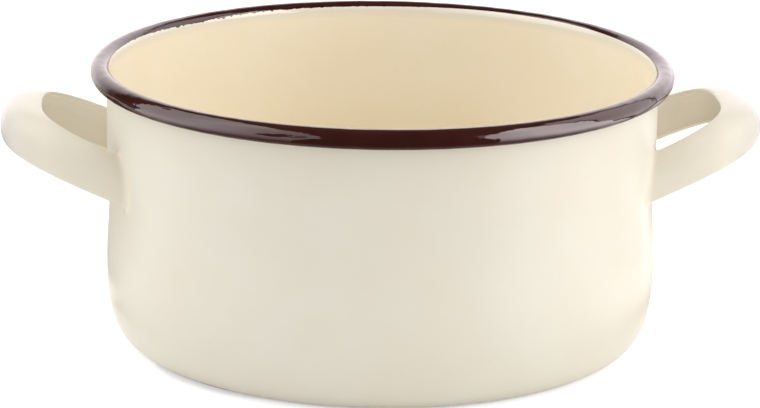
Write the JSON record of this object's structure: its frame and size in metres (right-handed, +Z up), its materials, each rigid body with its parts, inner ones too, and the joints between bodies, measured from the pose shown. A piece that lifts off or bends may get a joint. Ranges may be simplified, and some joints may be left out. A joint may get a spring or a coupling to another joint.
{
  "type": "saucepan",
  "caption": "Round enamelled steel saucepan with a rolled rim and a welded strap loop handle on each side, open at the top",
  "frame": {"origin": "centre of the ring on the underside that the pan stands on, level with the table", "axes": "+Z up through the mouth, +X out through the right handle, +Y towards the back of the pan as pictured"},
  "size_m": [0.3138, 0.24, 0.116],
  "materials": {
    "steel": "bare drawn sheet, all of it under enamel",
    "ivory_enamel": "glossy vitreous enamel, ivory with a faint mottle",
    "cream_enamel": "glossy vitreous enamel, cream",
    "brown_enamel": "very glossy vitreous enamel, dark red-brown",
    "ground_enamel": "satin ground coat, near black"
  },
  "bodies": {
    "root": {"steel_body": "steel", "inner_enamel": "cream_enamel", "outer_enamel": "ivory_enamel", "rim_enamel": "brown_enamel", "base_enamel": "ground_enamel", "left_handle": "steel", "right_handle": "steel", "left_handle_enamel": "ivory_enamel", "right_handle_enamel": "ivory_enamel", "left_handle_welds": "steel", "right_handle_welds": "steel"}
  },
  "joints": []
}
